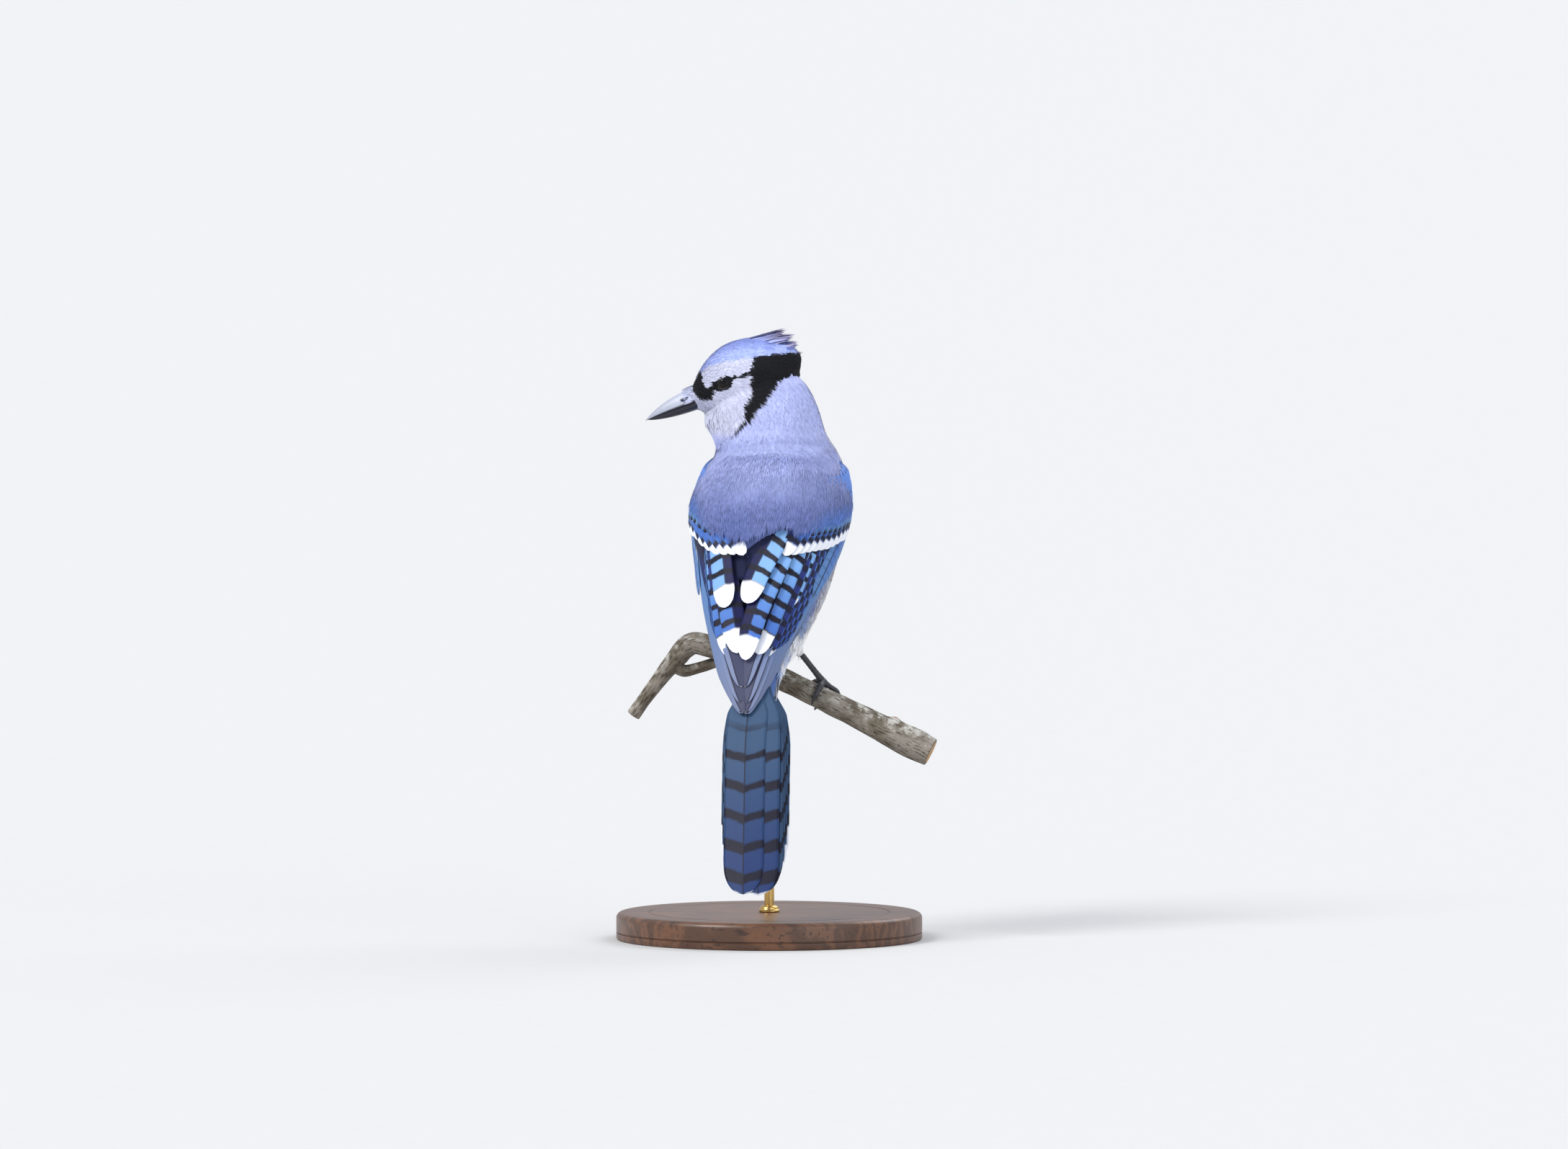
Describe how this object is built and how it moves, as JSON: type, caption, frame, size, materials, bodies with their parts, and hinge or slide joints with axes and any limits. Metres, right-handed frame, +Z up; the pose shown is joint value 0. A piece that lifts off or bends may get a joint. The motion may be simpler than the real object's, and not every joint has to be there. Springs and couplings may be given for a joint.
{
  "type": "perched blue jay with display stand",
  "caption": "Life-size blue jay clinging to a short cut branch with its head turned over one shoulder and its tail hanging, held on a round display stand by one rod.",
  "frame": {"origin": "centre of the stand's underside, on the floor", "axes": "+Z up, +Y the way the bird's breast faces, +X to the bird's right"},
  "size_m": [0.1437, 0.1473, 0.2727],
  "materials": {
    "crown_plumage": "soft lavender-blue crest feathers, white face, black band",
    "nape_plumage": "soft pale violet-blue body feathers with a black collar",
    "body_plumage": "dull violet-blue back, greyish white underparts",
    "wing_feathers": "bright blue flight feathers with black bars and white tips",
    "tail_feathers": "blue tail feathers with black bars and white corners",
    "bill_horn": "satin black horn",
    "eye": "wet dark brown eye",
    "leg_scales": "blackish scaled skin",
    "claw_horn": "satin black horn",
    "bark": "weathered grey bark with sawn ends",
    "stand_wood": "dark stained turned wood",
    "stand_brass": "dull brass rod"
  },
  "bodies": {
    "root": {"head": "crown_plumage", "neck": "nape_plumage", "torso": "body_plumage", "thigh_left": "body_plumage", "thigh_right": "body_plumage", "wing_left": "wing_feathers", "wing_right": "wing_feathers", "tail": "tail_feathers", "bill_upper": "bill_horn", "bill_lower": "bill_horn", "eye_left": "eye", "eye_right": "eye", "tarsus_left": "leg_scales", "tarsus_right": "leg_scales", "foot_left": "leg_scales", "foot_right": "leg_scales", "claw_left_hind": "claw_horn", "claw_left_inner": "claw_horn", "claw_left_middle": "claw_horn", "claw_left_outer": "claw_horn", "claw_right_hind": "claw_horn", "claw_right_inner": "claw_horn", "claw_right_middle": "claw_horn", "claw_right_outer": "claw_horn", "branch": "bark", "stand_base": "stand_wood", "stand_rod": "stand_brass"}
  },
  "joints": []
}
